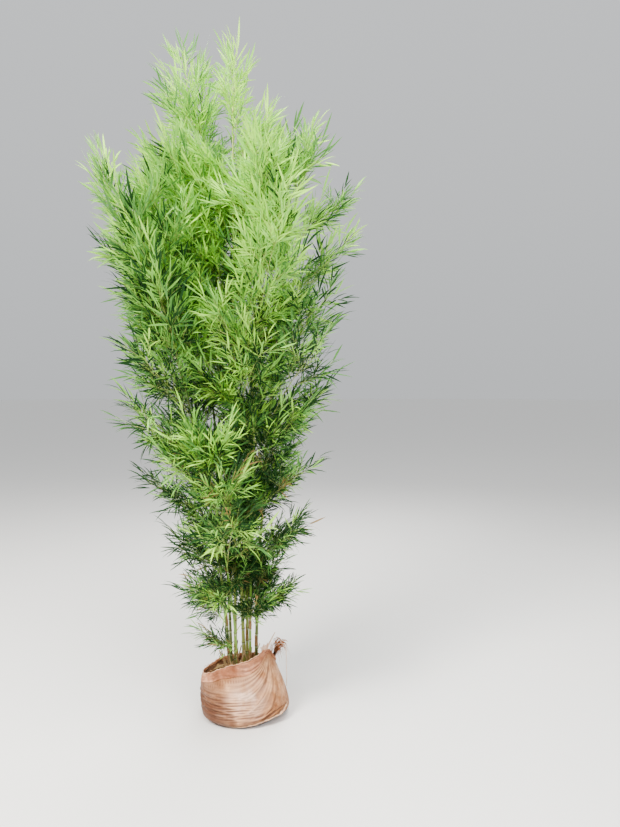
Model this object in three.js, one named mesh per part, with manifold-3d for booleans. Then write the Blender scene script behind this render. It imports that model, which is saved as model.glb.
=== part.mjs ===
// A potted clumping bamboo: slender leafy culms that rise from one root in a woven grow bag.
// Millimetres, +Z up. The origin is the centre of the bag's flat underside, +X runs to the
// right and +Y away from whoever looks at the front. Each culm is one tapering solid, and the
// foliage is a number of masses round the culms, each one bough with its twigs and leaves fused on.
import * as THREE from "three";
import Module from "manifold-3d";
import { mergeVertices } from "three/addons/utils/BufferGeometryUtils.js";

const wasm = await Module();
wasm.setup();

const gap = 0.3; // between pieces that touch
const up = new THREE.Vector3(0, 0, 1);
const radians = THREE.MathUtils.degToRad;

// The grow bag, slumped to the left, with a cuff folded down round a mouth that peaks at the front right
const bag = {
  underRadius: 150, // flat underside
  bellyRadius: 191,
  bellyHeight: 60,
  mouthRadius: 142,
  mouthHeight: 300,
  depthShare: 0.95, // front to back against side to side
  cloth: 3, // the cloth with its folds
  cuff: { height: 38, step: 3 }, // step is how far it stands out
  cuffSag: { at: radians(-80), drop: 16, halfWidth: 0.55 }, // where the cuff hangs deepest
  cuffPinch: { at: radians(4), share: 0.75, halfWidth: 0.55 }, // and where it narrows
  rimMiddle: 221.5, // mean height of the rim
  rimWaves: [
    { rise: 40, count: 1, turn: radians(-57) },
    { rise: -15.5, count: 2, turn: radians(27) },
  ],
  rimPeak: { at: radians(-23), rise: 53, halfWidth: 0.48 },
  footShift: 6, // the sections' centres move from here
  mouthShift: -26, // to here
  lobes: [
    { share: 0.018, count: 2, turn: 1.1 },
    { share: 0.012, count: 3, turn: -0.8 },
  ],
  ear: { at: radians(-32), reach: 11, height: 30, halfWidth: 0.24, halfHeight: 20 }, // the sewn corner
  tuck: { at: radians(-38), depth: 26, top: 45, halfWidth: 0.55 }, // where the cloth draws in below it
  heights: [6, 20, 45, 80, 120], // where its sections lie, below the cuff
  sides: 30,
};
const soilLevel = 172;
const tuckRoom = 1.8; // more room for the soil inside the tuck

// The culms, by their feet and tips over the bag's centre
const culms = [
  { name: "main", foot: [-37, -14], tip: [-30, -80], top: 2670, radius: 7.4, turn: 205, boughs: 15 },
  { name: "tall", foot: [-4, 24], tip: [-240, 20], top: 2735, radius: 7.8, turn: 80, boughs: 15 },
  { name: "green", foot: [27, -20], tip: [120, -200], top: 2320, radius: 5.8, turn: 300, boughs: 15 },
  { name: "left", foot: [-60, -36], tip: [-520, -140], top: 2250, radius: 6.8, turn: 150, boughs: 15 },
  { name: "right", foot: [50, 22], tip: [270, 50], top: 2430, radius: 7.0, turn: 20, boughs: 15 },
  { name: "back", foot: [6, 70], tip: [70, 330], top: 2540, radius: 7.0, turn: 95, boughs: 15 },
  { name: "back_left", foot: [-62, 44], tip: [-350, 240], top: 2480, radius: 6.6, turn: 130, boughs: 15 },
  { name: "young", foot: [-22, -62], tip: [-150, -270], top: 1180, radius: 4.8, turn: 230, boughs: 9 },
];
const culmSides = 6;
const culmSteps = 10;
const culmTaper = 0.68; // share of the foot's radius that is lost on the way to the tip
const soloEnd = 0.87; // how far up a culm its tip mass takes over
const firstBough = 0.11;
const lastBough = 0.86;
const lean = 1.6; // power by which a culm leans out as it rises
const nod = 0.14; // share of the lean that falls in the last stretch

// The boughs: a culm has one at each joint, and each third one is a mass here
const bough = {
  longest: 400,
  shortest: 95, // at a culm's foot and tip
  fullness: 1.3, // power that puts the longest above the middle of a culm
  rootAngle: radians(38), // from the culm, on the lowest boughs
  topAngle: radians(22), // and on the highest
  twist: radians(195), // from one joint to the next
  arch: 0.18, // how far the end swings out, as a share of its length
  sag: 0.08,
  steps: 2,
  rootRadius: 4.2,
  tipRadius: 3.3,
  clearance: 28, // from other culms and boughs, centre to centre
  turns: [0, 24, -24, 48, -48, 72, -72, 96, -96], // tried in turn to find it
};
const boughsPerMass = 3; // they start in turn at a culm's first, second or third bough

const twig = {
  count: 4, // on a bough
  tipCount: 5, // on a culm's tip
  first: 0.3, // where the first and last stand along the stem
  last: 0.97,
  share: 0.5, // of the stem's length, for a twig at its foot
  shrink: 0.5, // and how much of that is lost towards its end
  least: 75,
  spread: radians(38),
  radius: 1.7,
};
const leaf = {
  length: 188,
  width: 35,
  thickness: 3,
  widest: 0.36, // where it is widest, along its length
  rootWidth: 1.5,
  rootThickness: 1,
  spread: radians(38), // from its twig
  besides: 2, // leaves on each twig besides the one at its end
};
const lowGrowth = { size: 0.56, upTo: 0.45 }; // twigs and leaves are this small at a culm's foot
const leafLift = 0.4; // how much more the leaves at a culm's tip point up than those at its foot
const lowestLeaf = soilLevel + 150;
const leafRoom = 1; // kept clear round each leaf and twig

// A repeatable draw between two values
function seeded(seed) {
  let state = seed;
  return (low, high) => {
    state = (state * 16807) % 2147483647;
    return low + ((high - low) * state) / 2147483647;
  };
}

// A closed geometry as a solid that can be joined and cut
function solidOf(geometry) {
  const bare = new THREE.BufferGeometry();
  bare.setAttribute("position", geometry.getAttribute("position"));
  bare.setIndex(geometry.getIndex());
  const merged = mergeVertices(bare, 1e-3);
  return new wasm.Manifold(
    new wasm.Mesh({
      numProp: 3,
      vertProperties: new Float32Array(merged.getAttribute("position").array),
      triVerts: new Uint32Array(merged.getIndex().array),
    }),
  );
}

function geometryOf(solid) {
  const made = solid.getMesh();
  const geometry = new THREE.BufferGeometry();
  geometry.setAttribute("position", new THREE.BufferAttribute(made.vertProperties, 3));
  geometry.setIndex(new THREE.BufferAttribute(made.triVerts, 1));
  geometry.computeVertexNormals();
  return geometry;
}

// Moves every vertex of a geometry to where place(x, y, z) puts it
function reshaped(geometry, place) {
  const at = geometry.getAttribute("position");
  for (let i = 0; i < at.count; i++) {
    const p = place(at.getX(i), at.getY(i), at.getZ(i));
    at.setXYZ(i, p.x, p.y, p.z);
  }
  return geometry;
}

// A tapering limb through stations { at, along, radius }, its sections square to "along"
function limb(stations, side, sides) {
  const steps = stations.length - 1;
  return reshaped(new THREE.CylinderGeometry(1, 1, 1, sides, steps), (x, y, z) => {
    const station = stations[Math.round((y + 0.5) * steps)];
    const across = new THREE.Vector3().crossVectors(station.along, side).normalize();
    return station.at
      .clone()
      .addScaledVector(side, -z * station.radius)
      .addScaledVector(across, -x * station.radius);
  });
}

// Culms

// The centre line of a culm, from s = 0 at its foot to 1 at its tip
function culmPoint(culm, s) {
  const out = (1 - nod) * s ** lean + nod * s ** 9;
  return new THREE.Vector3(
    THREE.MathUtils.lerp(culm.foot[0], culm.tip[0], out),
    THREE.MathUtils.lerp(culm.foot[1], culm.tip[1], out),
    THREE.MathUtils.lerp(soilLevel + gap, culm.top, s),
  );
}

function culmDirection(culm, s) {
  return culmPoint(culm, s + 0.005)
    .sub(culmPoint(culm, s - 0.005))
    .normalize();
}

// The culm thins towards its tip, and flares a little at its foot
function culmRadius(culm, s) {
  const flare = 1 + 0.35 * Math.exp(-(s * (culm.top - soilLevel)) / 25);
  return culm.radius * (1 - culmTaper * s) * flare;
}

function culmGeometry(culm, spare) {
  const stations = [];
  for (let i = 0; i <= culmSteps; i++) {
    const s = soloEnd * (i / culmSteps) ** 1.15;
    stations.push({ at: culmPoint(culm, s), along: up, radius: culmRadius(culm, s) + spare });
  }
  return limb(stations, new THREE.Vector3(1, 0, 0), culmSides);
}

// Boughs

const boughShare = (culm, k) => firstBough + ((lastBough - firstBough) * k) / (culm.boughs - 1);
const firstMass = (culm) => culms.indexOf(culm) % boughsPerMass;

// The route of bough k, turned by "aside" from its own place on the culm
function boughRoute(culm, k, aside) {
  const s = boughShare(culm, k);
  const along = culmDirection(culm, s);
  const turn = radians(culm.turn) + bough.twist * k + aside;
  const level = new THREE.Vector3(Math.cos(turn), Math.sin(turn), 0);
  const out = level.addScaledVector(along, -level.dot(along)).normalize();
  const angle = THREE.MathUtils.lerp(bough.rootAngle, bough.topAngle, s);
  const scale = THREE.MathUtils.lerp(0.75, 1, Math.min(1, (culm.top - soilLevel) / 2400));
  const share = Math.sin(Math.PI * s ** bough.fullness);
  const length = scale * THREE.MathUtils.lerp(bough.shortest, bough.longest, share);
  const start = culmPoint(culm, s);
  const points = [];
  for (let i = 0; i <= bough.steps; i++) {
    const t = i / bough.steps;
    points.push(
      start
        .clone()
        .addScaledVector(along, Math.cos(angle) * length * t)
        .addScaledVector(out, Math.sin(angle) * length * t + bough.arch * length * t * t)
        .addScaledVector(up, -bough.sag * length * t * t),
    );
  }
  return { culm, k, s, facing: out, length, points, side: new THREE.Vector3().crossVectors(along, out) };
}

// The tip of a culm, as a bough that goes on along the culm's own line
function tipRoute(culm) {
  const points = [];
  for (let i = 0; i <= bough.steps; i++) {
    points.push(culmPoint(culm, THREE.MathUtils.lerp(soloEnd, 1, i / bough.steps)));
  }
  points[0].z += gap;
  const turn = radians(culm.turn);
  const out = new THREE.Vector3(Math.cos(turn), Math.sin(turn), 0);
  const length = points[0].distanceTo(points[bough.steps]);
  const side = new THREE.Vector3().crossVectors(up, out);
  return { culm, k: culm.boughs, s: 1, facing: up, length, points, side, isTip: true };
}

function pointAlong(points, t) {
  const place = t * (points.length - 1);
  const i = Math.min(points.length - 2, Math.floor(place));
  return points[i].clone().lerp(points[i + 1], place - i);
}

function directionAlong(points, t) {
  const i = THREE.MathUtils.clamp(Math.floor(t * (points.length - 1)), 0, points.length - 2);
  return points[i + 1].clone().sub(points[i]).normalize();
}

// How near a route comes to the other culms and to the boughs that are settled
function roomRound(route, settled) {
  let room = Infinity;
  for (const t of [0.15, 0.3, 0.45, 0.6, 0.75, 0.9, 1]) {
    const p = pointAlong(route.points, t);
    for (const other of culms) {
      const s = (p.z - soilLevel) / (other.top - soilLevel);
      if (other !== route.culm && s < 1.1) room = Math.min(room, culmPoint(other, s).distanceTo(p));
    }
    for (const done of settled)
      for (const u of [0, 0.15, 0.3, 0.45, 0.6, 0.75, 0.9, 1])
        room = Math.min(room, pointAlong(done.points, u).distanceTo(p));
  }
  return room;
}

// Each bough takes the first turn that has room for it, or else the one with the most room
function settleBoughs() {
  const settled = [];
  for (const culm of culms)
    for (let k = firstMass(culm); k < culm.boughs; k += boughsPerMass) {
      const tries = bough.turns.map((turn) => boughRoute(culm, k, radians(turn)));
      const rooms = tries.map((route) => roomRound(route, settled));
      const first = rooms.findIndex((room) => room > bough.clearance);
      settled.push(tries[first < 0 ? rooms.indexOf(Math.max(...rooms)) : first]);
    }
  return settled;
}

function boughGeometry(route) {
  const root = Math.min(bough.rootRadius, 1.1 * culmRadius(route.culm, Math.min(route.s, soloEnd)));
  const end = Math.min(bough.tipRadius, root);
  const stations = route.points.map((at, i) => ({
    at,
    along: i ? directionAlong(route.points, (i - 0.5) / bough.steps) : route.facing,
    radius: THREE.MathUtils.lerp(root, end, i / bough.steps),
  }));
  return limb(stations, route.side, 3);
}

// Twigs and leaves

// A bar of three sides through stations { at, across, face, width, thickness }, closed at both ends
function blade(stations) {
  const outline = stations.map((_, i) => new THREE.Vector2(1, i + 1));
  const ends = [new THREE.Vector2(0, 1), ...outline, new THREE.Vector2(0, stations.length)];
  return reshaped(new THREE.LatheGeometry(ends, 3), (x, y, z) => {
    const station = stations[Math.round(y) - 1];
    return station.at
      .clone()
      .addScaledVector(station.across, (x / Math.sqrt(3)) * station.width)
      .addScaledVector(station.face, (z / 1.5) * station.thickness);
  });
}

// The twigs of a bough leave it to either side in turn, and the last goes on along it
function twigsOf(route) {
  const draw = seeded(1009 + 97 * culms.indexOf(route.culm) + 13 * route.k);
  const twigs = [];
  const count = route.isTip ? twig.tipCount : twig.count;
  const size = THREE.MathUtils.lerp(lowGrowth.size, 1, Math.min(1, route.s / lowGrowth.upTo));
  for (let i = 0; i < count; i++) {
    const t = THREE.MathUtils.lerp(twig.first, twig.last, i / (count - 1));
    const along = directionAlong(route.points, t);
    const hand = i % 2 ? 1 : -1;
    const roll = route.isTip ? i * 2.4 : draw(-0.5, 0.5);
    const side = route.side.clone().multiplyScalar(hand).applyAxisAngle(along, roll);
    const spread = (i === count - 1 ? 0.15 : 1) * twig.spread * draw(0.8, 1.2);
    const longest = Math.max(twig.least, route.length * twig.share * (1 - twig.shrink * t));
    const length = longest * size * draw(0.85, 1.15);
    const direction = along.multiplyScalar(Math.cos(spread)).addScaledVector(side, Math.sin(spread));
    const root = pointAlong(route.points, t);
    const lift = leafLift * route.s;
    const made = { root, direction: direction.normalize(), side, length, size, lift, draw };
    twigs.push({ ...made, leaf: leafOn(made, 0, 1) });
  }
  return twigs;
}

// A leaf that leaves its twig at an angle in the plane of the fan, a share "place" along the twig
function leafOn(t, turn, place) {
  const root = t.root.clone().addScaledVector(t.direction, t.length * place);
  const flat = new THREE.Vector3().crossVectors(t.direction, t.side).normalize();
  const direction = t.direction.clone().applyAxisAngle(flat, turn);
  direction.addScaledVector(up, t.draw(-0.25, 0.2) + t.lift).normalize();
  const face = flat.multiplyScalar(flat.z < 0 ? -1 : 1).addScaledVector(up, 0.6);
  face.addScaledVector(direction, -face.dot(direction)).normalize();
  const across = new THREE.Vector3().crossVectors(direction, face);
  return { root, direction, face, across, size: t.size * t.draw(0.85, 1.1) };
}

// The widest section and the tip of a leaf, with room to spare round them
function leafStations(l, spare) {
  const reach = (share) => l.root.clone().addScaledVector(l.direction, leaf.length * l.size * share);
  const section = (at, width, thickness) => ({ at, across: l.across, face: l.face, width, thickness });
  return [
    section(reach(leaf.widest), leaf.width * l.size + 2 * spare, leaf.thickness + 2 * spare),
    section(reach(1), 0, 0),
  ];
}

// A twig that runs out into the leaf at its end
function twigGeometry(t, spare) {
  const { across, face } = t.leaf;
  const radius = twig.radius + spare;
  const bar = { across, face, width: Math.sqrt(3) * radius, thickness: 1.5 * radius };
  return blade([{ at: t.root, ...bar }, { at: t.leaf.root, ...bar }, ...leafStations(t.leaf, spare)]);
}

// A leaf at the side of a twig, with its root sunk in the twig
function sideLeafGeometry(l, spare) {
  const { across, face } = l;
  const root = { at: l.root, across, face, width: leaf.rootWidth, thickness: leaf.rootThickness };
  return blade([root, ...leafStations(l, spare)]);
}

// Masses

const placed = []; // every solid so far, with its owner and its box
const boxOf = (solid) => {
  const { min, max } = solid.boundingBox();
  return new THREE.Box3(new THREE.Vector3(...min), new THREE.Vector3(...max));
};
const keep = (owner, solid) => placed.push({ owner, solid, box: boxOf(solid) });

// Whether a solid is clear of everything that another owner has placed
function isClear(owner, solid) {
  const box = boxOf(solid);
  return !placed.some(
    (other) =>
      other.owner !== owner && other.box.intersectsBox(box) && !other.solid.intersect(solid).isEmpty(),
  );
}

// The largest body of a solid, without loose scraps
function whole(solid) {
  return solid.decompose().reduce((best, body) => (body.volume() > best.volume() ? body : best));
}

// Adds one more piece to a mass, if it keeps clear of the others and of the ground
function grow(mass, geometryWith) {
  const room = solidOf(geometryWith(leafRoom));
  if (!isClear(mass, room) || room.boundingBox().min[2] < lowestLeaf) return false;
  mass.solid = mass.solid.add(solidOf(geometryWith(0)));
  keep(mass, room);
  return true;
}

function growMasses(routes) {
  const masses = routes.map((route) => ({ route, solid: solidOf(boughGeometry(route)) }));
  for (const mass of masses) keep(mass, mass.solid);
  for (const mass of masses)
    mass.twigs = twigsOf(mass.route).filter((t) => grow(mass, (spare) => twigGeometry(t, spare)));
  for (let order = 0; order < twig.tipCount; order++)
    for (const mass of masses) {
      const t = mass.twigs[order];
      for (let i = 0; t && i < leaf.besides; i++) {
        const l = leafOn(t, (i % 2 ? 1 : -1) * leaf.spread * t.draw(0.8, 1.2), t.draw(0.4, 0.8));
        grow(mass, (spare) => sideLeafGeometry(l, spare));
      }
    }
  return masses;
}

// The grow bag and its soil

function bagRadius(z) {
  if (z < bag.bellyHeight)
    return bag.bellyRadius - (bag.bellyRadius - bag.underRadius) * (1 - z / bag.bellyHeight) ** 5;
  const rise = Math.min(1, (z - bag.bellyHeight) / (bag.mouthHeight - bag.bellyHeight));
  return THREE.MathUtils.lerp(bag.mouthRadius, bag.bellyRadius, 0.5 + 0.5 * Math.cos(Math.PI * rise));
}

// A bump that is 1 at the angle "at" and fades to either side of it
function bump(angle, at, halfWidth) {
  const aside = Math.atan2(Math.sin(angle - at), Math.cos(angle - at)) / halfWidth;
  return Math.exp(-(aside ** 2));
}

function rimHeight(angle) {
  let height = bag.rimMiddle + bag.rimPeak.rise * bump(angle, bag.rimPeak.at, bag.rimPeak.halfWidth);
  for (const wave of bag.rimWaves) height += wave.rise * Math.cos(wave.count * angle - wave.turn);
  return height;
}

function cuffHeight(angle) {
  const { cuff, cuffSag, cuffPinch } = bag;
  const hanging = cuff.height + cuffSag.drop * bump(angle, cuffSag.at, cuffSag.halfWidth);
  return hanging * (1 - cuffPinch.share * bump(angle, cuffPinch.at, cuffPinch.halfWidth));
}

// A point of the bag, "out" from its cloth's outer face, at an angle and a height
function bagPoint(angle, z, out) {
  let round = 1;
  for (const lobe of bag.lobes) round += lobe.share * Math.cos(lobe.count * angle - lobe.turn);
  const { ear, tuck } = bag;
  const above = (z - ear.height) / ear.halfHeight;
  const corner = out < 0 ? 0 : ear.reach * bump(angle, ear.at, ear.halfWidth) * Math.exp(-(above ** 2));
  const drawn = tuck.depth * bump(angle, tuck.at, tuck.halfWidth) * Math.max(0, 1 - z / tuck.top) ** 1.5;
  const radius = bagRadius(z) * round + out + corner - drawn;
  const shift = THREE.MathUtils.lerp(bag.footShift, bag.mouthShift, z / bag.mouthHeight);
  return new THREE.Vector3(shift + radius * Math.cos(angle), bag.depthShare * radius * Math.sin(angle), z);
}

// A closed body of revolution, from axis to axis, whose profile changes with the angle
function turned(profileAt) {
  const last = profileAt(0).length - 1;
  const outline = profileAt(0).map((_, i) => new THREE.Vector2(i === 0 || i === last ? 0 : 1, i));
  const step = (2 * Math.PI) / bag.sides;
  return reshaped(new THREE.LatheGeometry(outline, bag.sides), (x, y, z) => {
    const angle = Math.round(Math.atan2(x, z) / step) * step;
    return profileAt(angle)[Math.round(y)];
  });
}

const bagCentre = (z) => new THREE.Vector3(bag.footShift, 0, z);

// Up the outside, over the folded cuff and down the inside
function bagProfile(angle) {
  const rim = rimHeight(angle);
  const cuffFoot = rim - cuffHeight(angle);
  const highest = bag.heights[bag.heights.length - 1];
  const outside = [0, ...bag.heights, (highest + cuffFoot) / 2, cuffFoot];
  const cuff = [cuffFoot, rim - cuffHeight(angle) / 2, rim - bag.cloth];
  const inside = [(soilLevel + rim) / 2, soilLevel, ...bag.heights.toReversed()];
  return [
    bagCentre(0),
    ...outside.map((z) => bagPoint(angle, z, 0)),
    ...cuff.map((z) => bagPoint(angle, z, bag.cuff.step)),
    bagPoint(angle, rim, bag.cuff.step / 2),
    bagPoint(angle, rim - 1, -bag.cloth),
    ...inside.map((z) => bagPoint(angle, z, -bag.cloth)),
    bagCentre(bag.cloth),
  ];
}

// The soil fills the bag up to its level, clear of the cloth
function soilProfile(angle) {
  const room = (z) => bag.cloth + gap + (z > bag.tuck.top ? 0 : tuckRoom);
  const side = [...bag.heights, soilLevel].map((z) => bagPoint(angle, z, -room(z)));
  side[0].z += gap;
  return [bagCentre(bag.cloth + gap), ...side, bagCentre(soilLevel)];
}

// The finishes

const finish = {
  wovenBag: new THREE.MeshStandardMaterial({ color: 0xcf9f78, roughness: 0.6, metalness: 0 }),
  soil: new THREE.MeshStandardMaterial({ color: 0x4b3424, roughness: 0.95, metalness: 0 }),
  culm: new THREE.MeshStandardMaterial({ color: 0x8a9a48, roughness: 0.5, metalness: 0 }),
  foliage: new THREE.MeshStandardMaterial({ color: 0x7fae45, roughness: 0.6, metalness: 0 }),
};

function named(name, geometry, material) {
  const mesh = new THREE.Mesh(geometry, material);
  mesh.name = name;
  return mesh;
}

const plant = new THREE.Group();
plant.add(named("grow_bag", turned(bagProfile), finish.wovenBag));
plant.add(named("soil", turned(soilProfile), finish.soil));

const sleeves = new Map(); // each culm with room round it, to cut its masses back from it
for (const culm of culms) {
  plant.add(named("culm_" + culm.name, culmGeometry(culm, 0), finish.culm));
  sleeves.set(culm, solidOf(culmGeometry(culm, gap)));
  keep(culm, solidOf(culmGeometry(culm, 2)));
}

const masses = growMasses([...settleBoughs(), ...culms.map(tipRoute)]);
for (const { route, solid } of masses) {
  const label = route.isTip ? "tip" : String(1 + Math.floor(route.k / boughsPerMass));
  const clear = whole(solid.subtract(sleeves.get(route.culm)));
  plant.add(named("foliage_" + route.culm.name + "_" + label, geometryOf(clear), finish.foliage));
}

export default plant;
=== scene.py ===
# A potted clump of bamboo in a slumped woven grow bag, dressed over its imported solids
import random
from math import cos, exp, hypot, pi, radians, sin, sqrt
import bpy
import numpy as np
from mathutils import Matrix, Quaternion, Vector, noise


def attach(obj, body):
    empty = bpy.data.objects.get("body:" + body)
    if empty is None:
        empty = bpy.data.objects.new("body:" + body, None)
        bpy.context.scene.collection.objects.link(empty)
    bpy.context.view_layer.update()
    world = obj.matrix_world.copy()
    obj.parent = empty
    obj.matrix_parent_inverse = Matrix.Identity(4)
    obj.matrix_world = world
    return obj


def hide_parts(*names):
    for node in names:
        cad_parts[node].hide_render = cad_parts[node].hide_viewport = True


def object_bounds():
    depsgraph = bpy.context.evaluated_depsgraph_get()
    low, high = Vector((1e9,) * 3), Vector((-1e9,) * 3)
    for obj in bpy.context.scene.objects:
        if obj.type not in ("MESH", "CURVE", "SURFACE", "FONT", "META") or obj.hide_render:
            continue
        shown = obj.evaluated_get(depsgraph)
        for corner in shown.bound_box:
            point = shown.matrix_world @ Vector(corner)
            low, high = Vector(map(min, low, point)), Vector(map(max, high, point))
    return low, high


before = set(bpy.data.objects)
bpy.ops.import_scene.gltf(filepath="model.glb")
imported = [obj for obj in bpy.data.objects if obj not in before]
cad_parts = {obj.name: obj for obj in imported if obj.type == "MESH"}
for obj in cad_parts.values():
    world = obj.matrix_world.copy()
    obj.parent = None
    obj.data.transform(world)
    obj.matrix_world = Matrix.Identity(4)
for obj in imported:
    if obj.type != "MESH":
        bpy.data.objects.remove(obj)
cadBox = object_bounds()
print("frame loaded with", len(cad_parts), "nodes")

up = Vector((0, 0, 1))
tau = 2 * pi


def linkObject(name, data):
    thing = bpy.data.objects.new(name, data)
    bpy.context.scene.collection.objects.link(thing)
    return thing


# Camera: the photo is 620 x 827, taken upright with a phone

cameraView = {
    "place": (0.29, -2.9, 1.45),
    "pitchDown": 2.6,  # degrees
    "focalPixels": 669.0,
    "imageHeight": 827.0,
    "sensor": 36.0,  # mm, along the image's long side
}


def addCamera(view):
    data = bpy.data.cameras.new("camera")
    data.sensor_width = view["sensor"]
    data.lens = view["sensor"] * view["focalPixels"] / view["imageHeight"]
    camera = linkObject("camera", data)
    camera.location = view["place"]
    camera.rotation_euler = (radians(90 - view["pitchDown"]), 0, 0)
    bpy.context.scene.camera = camera


addCamera(cameraView)
print("camera placed")


# Small helpers

drawFactor = 16807
drawModulus = 2147483647


def drawFrom(seed):
    # the same random draws as in the solids' source
    state = [seed]

    def draw(low, high):
        state[0] = (state[0] * drawFactor) % drawModulus
        return low + (high - low) * state[0] / drawModulus

    return draw


def lerp(a, b, t):
    return a + (b - a) * t


def evenly(steps):
    # shares from 0 to 1
    return [i / steps for i in range(steps + 1)]


def levelWay(turn):
    return Vector((cos(turn), sin(turn), 0))


def squareTo(direction, vector):
    # what is left of the vector at right angles to the direction, at length 1
    return (vector - direction * vector.dot(direction)).normalized()


def tangentAt(points, i):
    return (points[min(i + 1, len(points) - 1)] - points[max(i - 1, 0)]).normalized()


def gridFaces(rows, columns, closed):
    # quads between neighbouring rows of points, with the last column joined to the first if closed
    faces = []
    for r in range(rows - 1):
        for c in range(columns if closed else columns - 1):
            d = (c + 1) % columns
            faces.append((r * columns + c, r * columns + d, (r + 1) * columns + d, (r + 1) * columns + c))
    return faces


class Shape:
    # the vertices and faces of one piece, which may start as a grid
    def __init__(self, points=(), columns=1, closed=False):
        self.vertices = []
        self.faces = []
        self.addGrid(points, columns, closed)

    def addGrid(self, points, columns, closed=False):
        first = len(self.vertices)
        self.vertices.extend(points)
        rings = gridFaces(len(points) // columns, columns, closed)
        self.faces += [tuple(first + v for v in face) for face in rings]

    def addTube(self, points, radii, sides):
        first = len(self.vertices)
        surface = []
        side = (points[1] - points[0]).orthogonal().normalized()
        for i, point in enumerate(points):
            along = tangentAt(points, i)
            side = squareTo(along, side)
            across = along.cross(side)
            for k in range(sides):
                turn = tau * k / sides
                surface.append(point + (side * cos(turn) + across * sin(turn)) * radii[i])
        self.addGrid(surface, sides, True)
        self.faces.append(tuple(first + v for v in reversed(range(sides))))
        self.faces.append(tuple(len(self.vertices) - sides + v for v in range(sides)))


def addPiece(name, shape, finish, nodes=()):
    mesh = bpy.data.meshes.new(name)
    mesh.from_pydata(np.asarray(shape.vertices).tolist(), [], shape.faces)
    mesh.validate()
    mesh.shade_smooth()
    mesh.materials.append(finishes[finish])
    piece = linkObject(name, mesh)
    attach(piece, "root")
    if nodes:
        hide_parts(*nodes)
    print("made", name, len(mesh.polygons), "faces")


# Shader nodes, and the groups that several finishes share

def rgb(red, green, blue):
    return (red, green, blue, 1.0)


def darker(colour, share):
    return rgb(*(share * c for c in colour[:3]))


def feed(tree, node, inputs):
    # each input takes a link from a socket, or a plain value
    for key, value in inputs.items():
        if isinstance(value, bpy.types.NodeSocket):
            tree.links.new(value, node.inputs[key])
        else:
            node.inputs[key].default_value = value


def addNode(tree, kind, inputs=None, **settings):
    node = tree.nodes.new("ShaderNode" + kind)
    for key, value in settings.items():
        setattr(node, key, value)
    feed(tree, node, inputs or {})
    return node


def maths(tree, operation, a, b=0.0, clamp=False):
    return addNode(tree, "Math", {0: a, 1: b}, operation=operation, use_clamp=clamp).outputs[0]


def times(tree, a, b, clamp=False):
    return maths(tree, "MULTIPLY", a, b, clamp)


def plus(tree, a, b, clamp=False):
    return maths(tree, "ADD", a, b, clamp)


def minus(tree, a, b):
    return maths(tree, "SUBTRACT", a, b)


def mixColour(tree, factor, a, b, blend="MIX"):
    return addNode(tree, "Mix", {0: factor, 6: a, 7: b}, data_type="RGBA", blend_type=blend).outputs[2]


def mapRange(tree, value, fromLow, fromHigh, toLow, toHigh):
    inputs = {0: value, 1: fromLow, 2: fromHigh, 3: toLow, 4: toHigh}
    return addNode(tree, "MapRange", inputs).outputs[0]


def objectPlace(tree):
    return addNode(tree, "TexCoord").outputs["Object"]


def newGroup(name, inputs, outputs):
    # labels that start with Colour are colours, and all others are numbers
    group = bpy.data.node_groups.new(name, "ShaderNodeTree")
    for way, labels in (("INPUT", inputs), ("OUTPUT", outputs)):
        for label in labels:
            kind = "NodeSocketColor" if label.startswith("Colour") else "NodeSocketFloat"
            socket = group.interface.new_socket(label, in_out=way, socket_type=kind)
            if way == "INPUT":
                socket.default_value = inputs[label]
    return group, group.nodes.new("NodeGroupInput").outputs, group.nodes.new("NodeGroupOutput")


def makeMottle():
    # two colours in soft patches, and a mask of them
    group, start, end = newGroup("mottle", {
        "Scale": 12.0, "Sharpness": 2.0, "Detail": 5.0,
        "Colour A": rgb(1, 1, 1), "Colour B": rgb(0, 0, 0),
    }, ("Colour", "Mask"))
    cloud = addNode(group, "TexNoise", {
        "Vector": objectPlace(group), "Scale": start["Scale"], "Detail": start["Detail"], "Roughness": 0.6,
    })
    spread = times(group, minus(group, cloud.outputs[0], 0.5), start["Sharpness"])
    mask = plus(group, spread, 0.5, clamp=True)
    feed(group, end, {"Colour": mixColour(group, mask, start["Colour A"], start["Colour B"]), "Mask": mask})
    return group


def makeFibres():
    # a mask of fine streaks that run along Z
    group, start, end = newGroup("fibres", {"Across": 900.0, "Along": 18.0}, ("Mask",))
    scale = addNode(group, "CombineXYZ", {0: start["Across"], 1: start["Across"], 2: start["Along"]})
    inputs = {0: objectPlace(group), 1: scale.outputs[0]}
    stretched = addNode(group, "VectorMath", inputs, operation="MULTIPLY")
    streaks = addNode(group, "TexNoise", {"Vector": stretched.outputs[0], "Scale": 1.0, "Detail": 3.0})
    feed(group, end, {"Mask": streaks.outputs[0]})
    return group


def makeGroundDust():
    # a mask that is strong near the ground and fades out above it in a ragged edge
    inputs = {"Height": 0.06, "Raggedness": 0.05, "Scale": 22.0}
    group, start, end = newGroup("groundDust", inputs, ("Mask",))
    place = objectPlace(group)
    height = addNode(group, "SeparateXYZ", {0: place}).outputs["Z"]
    cloud = addNode(group, "TexNoise", {"Vector": place, "Scale": start["Scale"], "Detail": 6.0})
    ragged = times(group, minus(group, cloud.outputs[0], 0.5), 2.0)
    raised = plus(group, start["Height"], times(group, ragged, start["Raggedness"]))
    below = maths(group, "DIVIDE", minus(group, raised, height), start["Height"], clamp=True)
    feed(group, end, {"Mask": below})
    return group


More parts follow.
